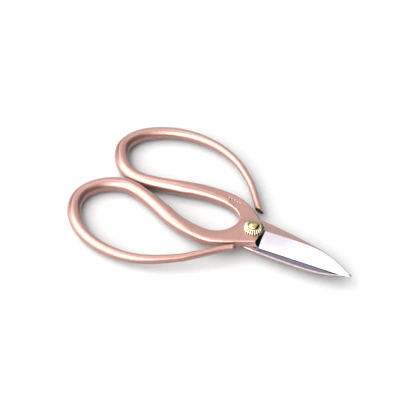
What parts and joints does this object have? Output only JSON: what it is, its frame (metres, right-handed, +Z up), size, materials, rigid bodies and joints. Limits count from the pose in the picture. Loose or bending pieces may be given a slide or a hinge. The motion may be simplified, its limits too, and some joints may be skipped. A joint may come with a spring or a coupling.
{
  "type": "floral snips",
  "caption": "Forged floral snips with open wrap-around finger loops, leaf-shaped blades and a riveted pivot with fluted washers.",
  "frame": {"origin": "on the rivet's axis, at the flat crown of the struck lower head, which the snips rest on", "axes": "+X from the rivet to the blade tips, +Z up along the rivet, +Y to the side of the lower half's finger loop"},
  "size_m": [0.18, 0.1186, 0.0167],
  "materials": {
    "forged_half": "satin metallic paint, blades ground bright",
    "rivet_brass": "polished",
    "washer_brass": "polished"
  },
  "bodies": {
    "lower": {"lower_half": "forged_half", "rivet": "rivet_brass", "upper_washer": "washer_brass", "lower_washer": "washer_brass"},
    "upper": {"upper_half": "forged_half"}
  },
  "joints": [
    {"name": "pivot", "type": "hinge", "parent": "lower", "child": "upper", "pos_m": [0, 0, 0.00714], "axis": [0, 0, 1], "range_deg": [0, 60]}
  ]
}
